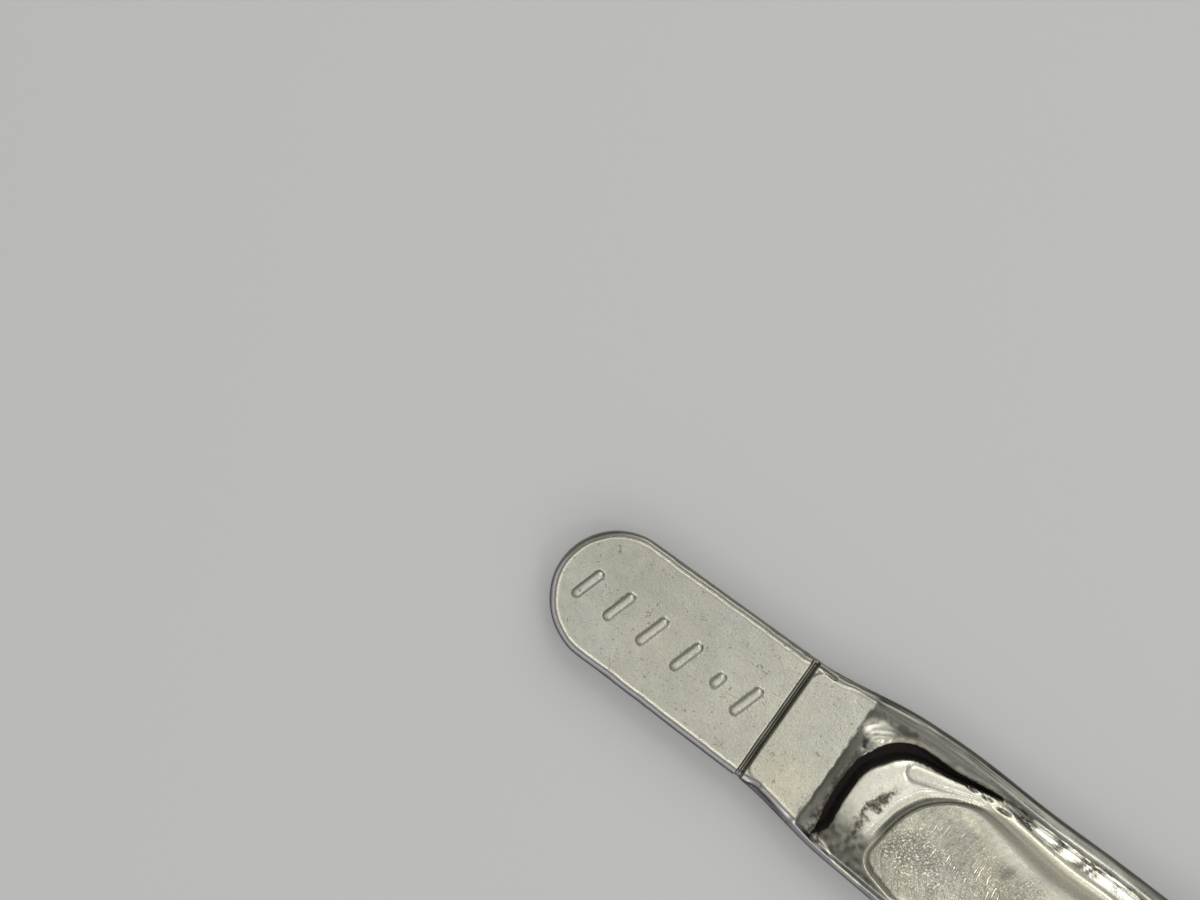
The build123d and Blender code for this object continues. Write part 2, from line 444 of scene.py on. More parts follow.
def slope_surface(x, y, inward, crown):
    """Height of the slopes that fall to the cavity from the pad and from the far rim."""
    from_pad = np.maximum(x - PAD_END, 0)
    from_crest = np.maximum(far_edge(x) - y - FAR_CREST, 0)
    reach = corner_inset(from_pad, from_crest, COVE_RADIUS)
    outside_cavity = np.clip(-inward, 0, None)
    share = outside_cavity / np.maximum(outside_cavity + np.maximum(reach, 0), 1e-6)
    side = smooth(-1.5, 1.5, from_pad - from_crest)
    climb = share * (1 - side) + np.sin(share * np.pi / 2) * side
    top_of_slope = FACE_HEIGHT + (crown - FACE_HEIGHT) * side
    crust = 0.05 * noise(x, y, 0.45, 52) * ridge(-0.2, 0.45, inward)
    return SLOPE_FOOT + (top_of_slope - SLOPE_FOOT) * climb + crust


def cavity_cut(x, inward, width):
    """Depth of the crescent cavity, and where it is painted black as painted shade."""
    edge = np.minimum(inward, width - inward)
    wall = np.minimum(CAVITY_WALL + 0.20 * smooth(56, 61, x), width / 2 + 0.01)
    is_open = width > CAVITY_LEAST_WIDTH
    cut = is_open * smooth(0.0, 1.0, edge / wall)
    return CAVITY_DEPTH * cut * smooth(0.10, 0.60, width), smooth(-0.45, -0.2, edge) * is_open


def body_surface(x, y, inset):
    """Open-poured body: shoulders, the slope behind the pad, the cavity, the lip and trough."""
    inward, width, near = cavity_insets(x, y)
    hollow = hollow_inset(x, y)
    crown = BAR_HEIGHT - CROWN_DROP + 0.05 * noise(x, y * 0, 8.0, 51)
    shoulder = EDGE_FOOT + (crown - EDGE_FOOT) * round_rise(inset, RIM_SHOULDER)
    outside = slope_surface(x, y, inward, crown)
    inside = lip_surface(x, y, inward - width, hollow, near)
    top = lay(outside, smooth(-0.1, 0.4, inward), inside)
    top = lay(top, 1 - smooth(-0.35, 0.45, near), crown)
    cut, pit = cavity_cut(x, inward, width)
    return np.minimum(shoulder, top) - cut, pit, inward, width, hollow, near


def top_surface(x, y):
    """Height of the upper surface and the painted masks that steer its finish."""
    inset = edge_inset(x, y)
    face = flat_face(x, y, inset)
    strokes, share = stroke_relief(x, y)
    face = face + strokes - notch_relief(x, y, inset)
    body, pit, inward, width, hollow, near = body_surface(x, y, inset)
    behind = smooth(-0.12, 0.12, past_pad(x, y))
    rim = smooth(PAD_START + 4, PAD_END + 1, x) * (1 - smooth(0.9, 1.3, inset))
    share_body = np.maximum(behind, rim)
    height = lay(face, share_body, body)
    paint = face_paint(x, y, inset, share)
    for name, value in body_paint(x, y, inset, inward, width, hollow).items():
        paint[name] = lay(paint[name], share_body, value)
    paint["pit"] = pit * behind
    paint["ring"] = ring_line(x, y)
    paint["stain"] = stain(x, y, inward, behind * smooth(0.1, 1.2, near))
    return height, paint


def past_pad(x, y):
    """Distance past the pad's torn end."""
    return x - PAD_END + 0.16 * noise(x * 0, y, 1.2, 61) + 0.10 * noise(x, y, 0.5, 62)


def face_paint(x, y, inset, stroke):
    """Finish of the tab and the pad: satin faces, the strokes on them with painted highlights and shade,
    their edges, and the notch with a painted highlight along it and painted shade in its groove.
    """
    inset = inset + edge_wander(x, y)
    tone = 1.0 + 0.05 * noise(x, y, 6.0, 101) + 0.05 * noise(x, y, 1.4, 102)
    tone = tone - 0.07 * smooth(30, 14, x) * smooth(-4, 4, y)
    warm = ridge(0, 1, oval(x, y, WARM_OVAL))
    hue = 0.25 * noise(x, y, 9.0, 103) + 0.15 * noise(x, y, 2.5, 104) + 0.6 * warm
    # Painted highlight on the strokes' crowns, painted shade in a ring at their foot and a broken
    # painted highlight just outside it
    tone = lay(tone, smooth(0.75, 0.35, stroke), 1.12)
    tone = lay(tone, ridge(1.02, 0.13, stroke), 0.58)
    tone = lay(tone, ridge(1.22, 0.10, stroke) * smooth(-0.2, 0.4, noise(x, y, 0.7, 105)), 1.2)
    tone, hue, bevel = edges_over(x, y, inset, tone, hue)
    # Painted highlight along the notch's edges and painted shade in its groove
    groove = 1 - smooth(NOTCH_WIDTH / 2 - 0.12, NOTCH_WIDTH / 2 + 0.05, np.abs(x - notch_line(y)))
    lit = ridge(NOTCH_WIDTH / 2 + 0.12, 0.12, np.abs(x - notch_line(y))) * smooth(1.0, 1.4, inset)
    tone = lay(tone, lit, 1.2)
    tone = lay(tone, groove * smooth(0.3, 0.9, inset), 0.42 + 0.05 * noise(x, y, 1.5, 106))
    polish = bevel * 0.8
    faint = 1 - np.maximum(bevel, groove)
    none = x * 0
    return {"tone": tone, "hue": hue, "polish": polish, "grit": none, "grain": faint,
            "stipple": none, "streaks": none}


def edges_over(x, y, inset, tone, hue):
    """Tone and hue with painted light on the faces' edges: a painted highlight on the bead and round the
    pad's fallen corner, the bevel's painted lilac reflection of the table, a dark line of painted
    reflection and an outer line of painted shade; and the bevel.
    """
    near = smooth(2.5, -2.5, y)
    bead = ridge(1.17, 0.14, inset)
    tone, hue = lay(tone, bead, 1.35), lay(hue, bead, 0.3)
    bevel = smooth(0.98, 0.84, inset)
    tone = lay(tone, bevel, 0.42 + 0.50 * near)
    hue = lay(hue, bevel, -0.2 - 0.8 * near)
    corner = pad_corner(x, inset)
    by_corner = smooth(-7, -8, y) * (x > PAD_START) * (x < PAD_START + 3)
    fallen = smooth(0.0, -0.2, corner) * by_corner
    tone, hue = lay(tone, fallen, 0.70), lay(hue, fallen, -0.7)
    tone = lay(tone, ridge(0.12, 0.13, corner) * by_corner, 1.3)
    tone = lay(tone, ridge(0.84, 0.12, inset), 0.45)
    tone = lay(tone, smooth(0.42, 0.22, inset), 0.62 - 0.40 * near)
    return tone, hue, bevel


def body_paint(x, y, inset, inward, width, hollow):
    """Finish of the body: slope and cove, lip, furrow, trough and rims, one laid over another."""
    tone, hue = slope_paint(x, y, inward)
    on_lip = smooth(0.0, 0.3, inward - width)
    lip_tone, lip_hue = lip_paint(x, y, hollow)
    tone, hue = lay(tone, on_lip, lip_tone), lay(hue, on_lip, lip_hue)
    polish = 1.0 - 0.35 * on_lip

    far = far_edge(x) - y
    furrow = furrow_share(x, far)
    edge = smooth(0.25, 0.6, furrow)
    furrow_tone, furrow_hue = furrow_paint(x, y, far)
    tone, hue = lay(tone, edge, furrow_tone), lay(hue, edge, furrow_hue)
    tone = lay(tone, ridge(0.30, 0.13, furrow) * smooth(3.0, 3.5, far) * smooth(70, 74, x), 0.55)
    polish = np.maximum(polish, furrow)

    bank = smooth(-0.9, 0.1, hollow) * smooth(62, 68, x)
    tone, hue = lay(tone, bank, 0.86 + 0.10 * noise(x, y, 3.0, 117)), lay(hue, bank, 0.35)
    polish = lay(polish, bank, 0.25)
    floor_tone, floor_hue, stipple, streaks = trough_paint(x, y, hollow)
    floor = trough_share(x, y, hollow)
    tone, hue = lay(tone, floor, floor_tone), lay(hue, floor, floor_hue)
    polish = lay(polish, floor, 0.0)

    tone, hue, polish = rims_over(x, y, inset, tone, hue, polish)
    return {"tone": tone, "hue": hue, "polish": polish, "grit": floor, "grain": 0.25 * on_lip,
            "stipple": stipple * floor, "streaks": streaks * floor}


def trough_share(x, y, hollow):
    """1 on the trough's floor, which starts further in behind the nose."""
    behind_nose = smooth(62, 70, x)
    begin = 0.25 + 1.5 * behind_nose + 0.8 * noise(x, y, 3.0, 120) * behind_nose
    return smooth(begin - 0.25, begin + 0.25 + 1.0 * smooth(64, 70, x), hollow)


def rims_over(x, y, inset, tone, hue, polish):
    """Tone, hue and polish with the rims laid over, a painted highlight streak on the near one, a dark
    line along the far one's crest and painted shade along the outer edge.
    """
    near_side = smooth(2.0, -2.0, y)
    rim = smooth(1.55, 1.25, inset)
    rim_tone, rim_hue = rim_paint(x, y, inset)
    tone, hue = lay(tone, rim, rim_tone), lay(hue, rim, rim_hue)
    streak = ridge(0.75 + 1.1 * smooth(55.5, 52, x), 0.20, inset) * near_side
    streak = streak * smooth(50.5, 52, x) * smooth(0, 0.3, noise(x, y * 0, 4.0, 126) + smooth(64, 58, x))
    tone, hue = lay(tone, streak, 1.35), lay(hue, streak, 0.7)
    crest_line = ridge(1.65, 0.42, inset) * (1 - near_side) * smooth(78, 66, x)
    tone = lay(tone, crest_line, 0.32 + 0.14 * noise(x * 0.04, inset, 0.15, 144))
    tone = lay(tone, smooth(0.40, 0.2, inset), 0.25)
    return tone, hue, lay(polish, rim, 0.35 + 0.35 * near_side)


def slope_paint(x, y, inward):
    """Tone and hue of the slope behind the pad, dark as painted shade, with a painted shadow along the
    torn edge, painted highlights along the cavity's edge and in the cove, a patch of painted shade, and
    the far rim's slope in a painted lilac reflection.
    """
    crumbs = 0.30 * smooth(0.8, 2.0, x - PAD_END) * noise(x, y, 0.45, 112)
    tone = 0.30 + 0.10 * smooth(0, -7, y) + 0.06 * noise(x, y, 1.5, 111) + crumbs
    # Painted shadow along the pad's torn edge
    tone = lay(tone, ridge(0.35, 0.25, past_pad(x, y)), 0.20)
    broken = smooth(-0.15, 0.35, noise(x, y, 0.9, 147)) * smooth(5.0, 3.0, y)
    # A painted highlight along the cavity's rounded edge, then a dark line of crust
    tone = lay(tone, ridge(-0.16, 0.11, inward) * broken, 0.95)
    tone = lay(tone, ridge(-0.48, 0.16, inward) * broken, 0.14)
    hue = -0.1 + x * 0
    side = smooth(50.5, 53.5, x + 0.5 * (y - 7.0))
    streaky = 0.08 * noise(x, y, 3.0, 127) + 0.20 * noise(x * 0.05, far_edge(x) - y, 0.28, 145)
    tone, hue = lay(tone, side, 0.52 + streaky), lay(hue, side, -0.3)
    pale = ridge(-0.60, 0.38, inward) * smooth(55.0, 58.5, x) * smooth(69, 66, x)
    tone, hue = lay(tone, pale, 0.92 + 0.35 * noise(x, y, 0.9, 146)), lay(hue, pale, -0.35)
    # Painted highlight in the cove, with streaks, and a patch of painted shade beyond it
    cove = smooth(1.5, 0.6, oval(x, y, COVE_OVAL))
    bend = np.hypot(x - 53.5, y - 3.0)
    streaks = 0.75 + 0.55 * noise(bend, np.arctan2(y - 3.0, x - 53.5), 0.24, 113)
    tone, hue = lay(tone, cove, 2.2 * streaks), lay(hue, cove, -0.05)
    dark = smooth(1.25, 0.7, oval(x, y, SHADE_OVAL) + 0.5 * noise(x, y, 0.7, 128))
    tone, hue = lay(tone, dark, 0.22), lay(hue, dark, 0.2)
    # Cream painted highlight along the cavity's edge by the far corner
    band = ridge(-0.55, 0.50, inward) * ridge(53.5, 4.5, x) * smooth(3.0, 5.0, y)
    tone, hue = lay(tone, band, 1.0 + 0.35 * noise(x, y, 0.5, 114)), lay(hue, band, 1.0)
    return tone, hue


def glints():
    """Places along the furrow where it is painted to shine, unevenly spaced, with their half lengths."""
    places = list(FIRST_GLINTS)
    random = np.random.default_rng(7)
    while places[-1][0] < BAR_LENGTH:
        places.append((places[-1][0] + random.uniform(4.5, 17.0), random.uniform(0.8, 3.4)))
    return places


def furrow_paint(x, y, far):
    """Tone and hue of the furrow: ragged bright patches of painted highlight on glossy blue-grey metal.
    """
    ragged = 0.45 * noise(x + 0.6 * far, far, 1.3, 115) + 0.45 * noise(x, far * 3, 0.5, 116)
    bright = x * 0
    for middle, half in glints():
        reach = np.abs(x + 0.9 * (far - 3.3) - middle) / half
        bright = np.maximum(bright, smooth(1.25, 0.75, reach + ragged))
    stripes = smooth(0.25, 0.5, noise(x + 0.7 * far, far * 0.3, 0.5, 129)) * ridge(81.7, 1.4, x)
    bright = np.maximum(bright, stripes) * ridge(3.3, 1.2, far)
    pink = smooth(0.0, 0.5, noise(x, y, 1.8, 130))
    tone = 0.50 + 0.25 * noise(x, far * 2, 2.5, 136) + 2.3 * bright
    return tone, lay(-0.35, bright, -0.5 * pink + 0.2)


def trough_paint(x, y, hollow):
    """Tone and hue of the trough, with painted shade on its near bank, and where its crust is stippled
    or streaked along the arcs.
    """
    tone = 0.70 + 0.12 * noise(x, y, 4.0, 121) + 0.06 * noise(x, y, 1.2, 122)
    hue = 0.45 + 0.5 * noise(x, y, 3.5, 123)
    cream = smooth(1.4, 0.6, oval(x, y, CREAM_OVAL) + 0.3 * noise(x, y, 1.5, 124))
    tone, hue = lay(tone, cream, 0.86), lay(hue, cream, 0.9)
    shaded = smooth(3.6, 1.8, hollow) * smooth(-3.5, -6.5, y) * smooth(67, 61, x)
    tone, hue = lay(tone, shaded, 0.58), lay(hue, shaded, 0.4)
    for start, end, width, mark_tone in MARKS:
        away = from_segment(x, y, start, end)[0] + 0.25 * noise(x, y, 0.8, 137)
        tone = lay(tone, smooth(1.4 * width, 0.3 * width, away), mark_tone)
    later = smooth(77, 84, x)
    crack = ridge(0, 0.05, noise(x, y, 4.5, 118)) * smooth(0.1, 0.4, noise(x, y, 3.1, 119)) * later
    stipple, streaks = trough_crust(x, y, later)
    return lay(tone, crack, 0.5), hue, stipple, streaks


def trough_crust(x, y, later):
    """Where the trough is stippled and where it is streaked: as seen by the nose, at random later."""
    edges = 0.45 * noise(x, y, 1.3, 138)
    stipple = smooth(1.4, 0.7, oval(x, y, STIPPLE_OVAL) + edges)
    stipple = np.maximum(stipple, smooth(0.05, 0.5, noise(x, y, 5.0, 139) + 0.5 * edges) * later)
    streaks = smooth(1.5, 0.6, from_segment(x, y, *STREAK_RUN)[0] + edges)
    fainter = smooth(2.2, 1.0, from_segment(x, y, *FAINT_STREAK_RUN)[0] + edges)
    streaks = np.maximum(streaks, 0.45 * fainter)
    streaks = np.maximum(streaks, smooth(0.05, 0.5, noise(x * 0.5, y, 4.0, 140) + 0.5 * edges) * later)
    return 0.13 + 0.87 * stipple, streaks


def rim_paint(x, y, inset):
    """Tone and hue of the rims: the far one darker towards the pad as painted shadow, with dark lines
    along it, and the near one in a painted lilac reflection.
    """
    lines = noise(x * 0.04, inset, 0.13, 124) + 0.4 * noise(x, y, 1.5, 125)
    near_side = smooth(2.0, -2.0, y)
    # Far rim painted darker towards the pad as the shadow of a neighbouring bar
    far_tone = 0.30 + 0.24 * smooth(62, 76, x)
    tone = lay(far_tone + 0.30 * lines, near_side, 0.74 + 0.08 * lines)
    return tone, -0.1 - 0.8 * near_side


def lip_paint(x, y, hollow):
    """Tone and hue of the lip: pale at the nose, with painted shade at its near end, painted highlights
    and shade along its crests and crease, a brighter drip with a dark outline, and holes with a painted
    highlight round them and painted shade in them.
    """
    tone = 1.34 + 0.14 * smooth(60, 56, x) + 0.10 * noise(x, y, 2.2, 131) + 0.10 * noise(x, y, 0.6, 132)
    hue = -0.12 + 0.15 * noise(x, y, 2.5, 133)
    shaded = smooth(-2.5, -7.5, y + 1.0 * noise(x, y, 1.7, 134)) * smooth(70, 62, x)
    tone, hue = lay(tone, shaded, 0.30 + 0.18 * noise(x, y, 0.6, 135)), lay(hue, shaded, 0.35)
    drop = drip_share(x, y)
    tone, hue = lay(tone, smooth(1.0, 0.8, drop), 1.22), lay(hue, smooth(1.0, 0.8, drop), -0.15)
    tone = lay(tone, ridge(1.0, 0.17, drop) * smooth(66, 61, x), 0.60)
    hole = hole_share(x, y)
    behind_nose = smooth(60, 68, x)
    tone, hue = lay(tone, behind_nose, 1.05), lay(hue, behind_nose, 0.5)
    tone, hue = ridge_lines(x, y, hollow, tone, hue)
    tone = lay(tone, 0.4 * ridge(1.5, 0.45, hole), 1.25)
    tone, hue = lay(tone, smooth(1.2, 0.4, hole), 0.36), lay(hue, smooth(1.2, 0.4, hole), 0.1)
    return tone, hue


def ridge_lines(x, y, hollow, tone, hue):
    """Painted cream highlights on the crests, a dark line, a band of painted shade in the crease and a
    painted highlight band at the near end, that follow the lip's edge above the trough.
    """
    narrow = ridge_narrowing(y)
    clear = smooth(-6.0, -3.0, y)
    crease = smooth(-1.50 * narrow, -1.15 * narrow, hollow) * smooth(0.10, -0.20, hollow)
    crease = crease * smooth(76, 66, x) * (0.25 + 0.75 * clear)
    tone, hue = lay(tone, crease, 0.20 + 0.07 * noise(x, y, 0.5, 143)), lay(hue, crease, 0.25)
    crest = ridge(-0.72 * narrow, 0.17, hollow) * clear * smooth(66, 62, x)
    tone = lay(tone, crest, 0.32)
    crest = ridge(-1.70 * narrow, 0.22, hollow) * clear
    tone, hue = lay(tone, crest, 1.15), lay(hue, crest, 0.8)
    band = ridge(-0.15, 0.42, hollow) * smooth(-5.0, -6.5, y) * smooth(72, 64, x)
    tone, hue = lay(tone, band, 1.15), lay(hue, band, 0.5)
    crest = ridge(0.10, 0.16, hollow) * smooth(66, 62, x) * clear
    tone, hue = lay(tone, crest, 1.2), lay(hue, crest, 0.3)
    crest = ridge(-1.9, 0.45, hollow) * smooth(64, 70, x)
    return lay(tone, crest, 1.2), lay(hue, crest, 0.9)


def stain(x, y, inward, behind):
    """Dirt: on the lip, along the cavity's rim and at the pad's torn edge."""
    lip = sum(strength * ridge(0, 1.0, oval(x, y, place)) for place, strength in STAINS)
    rim = 0.9 * ridge(-0.45, 0.65, inward) + 1.4 * ridge(-0.10, 0.30, inward)
    rim = rim * smooth(5.5, 1.0, y) * behind
    pad = 0.75 * ridge(PAD_END - 0.3, 0.6, x) * smooth(-3.0, -8.5, y)
    broken = 0.60 + 0.45 * noise(x, y, 0.9, 71) + 0.3 * noise(x, y, 0.4, 72)
    return np.clip((lip + rim + pad) * broken, 0, 1)


def stations():
    """Places along the straight sides, closest together where the detail is finest."""
    places = [TIP_RADIUS]
    rear = BAR_LENGTH - BODY_WIDTH / 2
    for end, step in SPANS + ((rear, LONG_STEP),):
        start = places[-1]
        count = int(np.ceil((end - start) / step))
        places.extend(start + (end - start) * (k + 1) / count for k in range(count))
    return np.array(places)


def rear_cap(start):
    """Outline points round the rear end, from the far side to the near side."""
    rear = BAR_LENGTH
    far, near = far_edge(np.array([rear]))[0], near_edge(np.array([rear]))[0]
    corner = REAR_CORNER
    run = np.linspace(start, rear - corner, REAR_STEPS // 6, endpoint=False)[1:]
    far_run = np.column_stack((run, far_edge(run)))
    near_run = np.column_stack((run, near_edge(run)))[::-1]
    turn = np.linspace(0, np.pi / 2, REAR_STEPS // 3)
    sine, cosine = corner * np.sin(turn), corner * np.cos(turn)
    far_turn = np.column_stack((rear - corner + sine, far - corner + cosine))
    near_turn = np.column_stack((rear - corner + cosine, near + corner - sine))
    across = np.linspace(far - corner, near + corner, REAR_STEPS // 3)[1:-1]
    end = np.column_stack((np.full(len(across), rear), across))
    return np.vstack((far_run, far_turn, end, near_turn, near_run))


def outline_loop():
    """Outline points in order, and for each the point on the centre line that it faces."""
    places = stations()
    rear = rear_cap(places[-1])
    turn = np.linspace(np.pi, 0, TIP_STEPS + 1)[1:-1]
    tip = np.column_stack((TIP_RADIUS - TIP_RADIUS * np.sin(turn), TIP_RADIUS * np.cos(turn)))
    far = np.column_stack((places, far_edge(places)))
    near = np.column_stack((places, near_edge(places)))[::-1]
    outline = np.vstack((far, rear, near, tip))
    count = len(places)
    order = np.arange(count)
    facing = np.concatenate((order, np.full(len(rear), count - 1), order[::-1], np.zeros(len(tip), int)))
    centres = np.column_stack((places, np.zeros(count)))
    return outline, facing, centres


def strip(first, second):
    """Triangles between two closed rings of vertex numbers, without the empty ones."""
    a, b = first, np.roll(first, -1)
    c, d = second, np.roll(second, -1)
    faces = np.vstack((np.column_stack((a, d, b)), np.column_stack((a, c, d))))
    solid = (faces[:, 0] != faces[:, 1]) & (faces[:, 1] != faces[:, 2]) & (faces[:, 0] != faces[:, 2])
    return faces[solid]


def top_plan(outline, inner, centres):
    """Plan points of the top in rings from the outline in to the centre line, and their number."""
    columns = [0.0]
    for end, steps in RIM_COLUMNS:
        columns.extend(np.linspace(columns[-1], end, steps + 1)[1:])
    shares = np.array(columns) / (BODY_WIDTH / 2)
    rings = [outline + (inner - outline) * share for share in shares[:-1]]
    return np.vstack(rings + [centres]), len(rings)


def lower_rings(outline, inner):
    """Rings of points down the drafted sides and in along the flat underside."""
    outward = outline - inner
    outward = outward / np.linalg.norm(outward, axis=1)[:, None]
    slope = np.tan(SIDE_DRAFT)
    levels = [(level, (EDGE_FOOT - level) * slope) for level in SIDE_LEVELS]
    levels.append((0.0, EDGE_FOOT * slope + FOOT_CHAMFER))
    rings = []
    for level, inset in levels:
        place = outline - outward * inset
        ripple = 0.05 * noise(place[:, 0] + place[:, 1], place[:, 0] * 0 + level, 2.5, 81) * (level > 1)
        place = place + outward * ripple[:, None]
        rings.append(np.column_stack((place, np.full(len(place), level))))
    foot = outline - outward * levels[-1][1]
    for share in UNDERSIDE_SHARES:
        rings.append(np.column_stack((foot + (inner - foot) * share, np.zeros(len(foot)))))
    return rings


def bar_mesh():
    """One closed mesh: the detailed top, the drafted sides and the flat underside."""
    outline, facing, centres = outline_loop()
    count = len(outline)
    inner = centres[facing]
    plan, ring_count = top_plan(outline, inner, centres)
    height, masks = top_surface(plan[:, 0], plan[:, 1])
    numbers = [np.arange(count) + k * count for k in range(ring_count)]
    numbers.append(ring_count * count + facing)
    points = [np.column_stack((plan, height))]
    faces = [strip(first, second) for first, second in zip(numbers, numbers[1:])]

    upper, total = numbers[0], len(plan)
    for ring in lower_rings(outline, inner):
        points.append(ring)
        lower = np.arange(count) + total
        faces.append(strip(lower, upper))
        upper, total = lower, total + count
    points.append(np.column_stack((centres, np.zeros(len(centres)))))
    faces.append(strip(facing + total, upper))

    points = np.vstack(points)
    extra = len(points) - len(plan)
    for name, values in masks.items():
        masks[name] = np.concatenate((values, np.full(extra, SIDE_PAINT[name])))
    points[:, 0] -= BAR_LENGTH / 2
    return points * MM, np.vstack(faces), masks


def make_bar():
    points, faces, masks = bar_mesh()
    mesh = bpy.data.meshes.new("tin_bar_skin")
    mesh.from_pydata(points.tolist(), [], faces.tolist())
    mesh.validate()
    for name, values in masks.items():
        layer = mesh.attributes.new(name, "FLOAT", "POINT")
        layer.data.foreach_set("value", np.asarray(values, np.float32))
    mesh.shade_smooth()
    bar = bpy.data.objects.new("cast_tin_bar", mesh)
    bpy.context.scene.collection.objects.link(bar)
    return bar


def add(tree, kind, **settings):
    node = tree.nodes.new(kind)
    for name, value in settings.items():
        setattr(node, name, value)
    return node


def feed(tree, socket, value):
    """Sets a socket to a plain value, or links it to another socket."""
    if isinstance(value, bpy.types.NodeSocket):
        tree.links.new(value, socket)
    else:
        socket.default_value = value


def calc(tree, operation, *values):
    node = add(tree, "ShaderNodeMath", operation=operation)
    for socket, value in zip(node.inputs, values):
        feed(tree, socket, value)
    return node.outputs[0]


def times(tree, *values):
    product = values[0]
    for value in values[1:]:
        product = calc(tree, "MULTIPLY", product, value)
    return product


def total(tree, *values):
    result = values[0]
    for value in values[1:]:
        result = calc(tree, "ADD", result, value)
    return result


def blend_values(tree, share, first, second):
    node = add(tree, "ShaderNodeMix", data_type="FLOAT")
    for socket, value in zip(node.inputs[:4], (share, None, first, second)):
        if value is not None:
            feed(tree, socket, value)
    return node.outputs[0]


def blend_colours(tree, share, first, second):
    node = add(tree, "ShaderNodeMix", data_type="RGBA")
    feed(tree, node.inputs[0], share)
    feed(tree, node.inputs[6], first)
    feed(tree, node.inputs[7], second)
    return node.outputs[2]


def ease(tree, value, start, end):
    """0 where the value is below start, 1 above end."""
    node = add(tree, "ShaderNodeMapRange", interpolation_type="SMOOTHSTEP")
    for socket, amount in zip(node.inputs[:3], (value, start, end)):
        feed(tree, socket, amount)
    return node.outputs[0]


def mask(tree, name):
    return add(tree, "ShaderNodeAttribute", attribute_name=name).outputs["Fac"]


def stretched(tree, lengths):
    """Object coordinates divided by a size in millimetres along each axis."""
    place = add(tree, "ShaderNodeTexCoord").outputs["Object"]
    node = add(tree, "ShaderNodeMapping")
    node.inputs["Scale"].default_value = [1 / (length * MM) for length in lengths]
    tree.links.new(place, node.inputs["Vector"])
    return node.outputs[0]


def grain(tree, lengths, detail=2.0, distortion=0.0):
    """Noise from -0.5 to 0.5 with patches of the given sizes."""
    node = add(tree, "ShaderNodeTexNoise")
    feed(tree, node.inputs["Vector"], stretched(tree, lengths))
    node.inputs["Scale"].default_value = 1.0
    node.inputs["Detail"].default_value = detail
    node.inputs["Distortion"].default_value = distortion
    return calc(tree, "SUBTRACT", node.outputs["Fac"], 0.5)


def even_grain(tree, size, detail):
    """Noise from -0.5 to 0.5 with round patches of one size."""
    return grain(tree, (size,) * 3, detail)


def arc_grain(tree, ring, across, along, detail):
    """Noise from -0.5 to 0.5 drawn out along the trough's arcs; sizes in millimetres."""
    place = add(tree, "ShaderNodeSeparateXYZ")
    tree.links.new(add(tree, "ShaderNodeTexCoord").outputs["Object"], place.inputs[0])
    joined = add(tree, "ShaderNodeCombineXYZ")
    feed(tree, joined.inputs[0], calc(tree, "DIVIDE", ring, across))
    feed(tree, joined.inputs[1], calc(tree, "DIVIDE", place.outputs["Y"], along * MM))
    node = add(tree, "ShaderNodeTexNoise")
    tree.links.new(joined.outputs[0], node.inputs["Vector"])
    node.inputs["Scale"].default_value = 1.0
    node.inputs["Detail"].default_value = detail
    node.inputs["Distortion"].default_value = 0.8
    return calc(tree, "SUBTRACT", node.outputs["Fac"], 0.5)


def tin_height(tree, grit, faint, ring):
    """Fine relief in millimetres: satin grain, pits, the trough's ripples, crust and streaks."""
    high = RELIEF_HEIGHTS
    peel = times(tree, even_grain(tree, 0.8, 4.0), high["peel"])
    fine = times(tree, even_grain(tree, 0.26, 2.0), high["fine"])
    pits = times(tree, blots(tree, 0.45), high["pits"])
    satin = times(tree, total(tree, peel, fine, pits), faint)
    wave_node = calc(tree, "SINE", times(tree, ring, 2 * np.pi / RIPPLE_LENGTH))
    presence = ease(tree, grain(tree, (9.0, 7.0, 9.0), 2.0), -0.10, 0.16)
    ripples = times(tree, wave_node, presence, high["ripples"])
    soft = times(tree, even_grain(tree, 0.7, 4.0), high["soft"])
    drawn_out = times(tree, arc_grain(tree, ring, 0.30, 3.2, 2.0), high["drawn_out"])
    quiet = times(tree, total(tree, ripples, soft, drawn_out), grit)
    lumps = times(tree, even_grain(tree, 0.34, 3.0), high["crust"])
    holes = times(tree, blots(tree, 0.6), high["crust_pits"])
    crust = times(tree, total(tree, lumps, holes), mask(tree, "stipple"))
    raised = times(tree, streak_lines(tree, ring), high["streaks"])
    drawn = times(tree, grain(tree, (3.5, 0.25, 0.25), 2.0), high["drawn"])
    return total(tree, satin, quiet, crust, raised, drawn)


def streak_lines(tree, ring):
    """1 along short broken streaks that follow the arcs where they are painted, 0 elsewhere."""
    swerve = times(tree, even_grain(tree, 1.4, 2.0), 5.0)
    phase = calc(tree, "ADD", times(tree, ring, 2 * np.pi / STREAK_SPACING), swerve)
    crests = ease(tree, calc(tree, "SINE", phase), 0.0, 0.85)
    broken = ease(tree, arc_grain(tree, ring, 0.9, 1.5, 1.0), -0.03, 0.07)
    return times(tree, crests, broken, mask(tree, "streaks"))


def specks(tree):
    """1 on small grains of the trough's crust that are painted bright as glints, 0 elsewhere."""
    grains = ease(tree, even_grain(tree, 0.29, 2.0), 0.04, 0.15)
    return times(tree, grains, mask(tree, "stipple"))


def blots(tree, size):
    """1 in small scattered uneven spots, 0 elsewhere."""
    return ease(tree, grain(tree, (size,) * 3, 2.0, 0.5), 0.16, 0.24)


def hairlines(tree):
    """1 along a few fine cracks, where one noise crosses its middle and another is high."""
    line = calc(tree, "ABSOLUTE", even_grain(tree, 2.4, 3.0))
    here = ease(tree, even_grain(tree, 3.1, 1.0), 0.10, 0.18)
    return times(tree, calc(tree, "SUBTRACT", 1.0, ease(tree, line, 0.004, 0.012)), here)


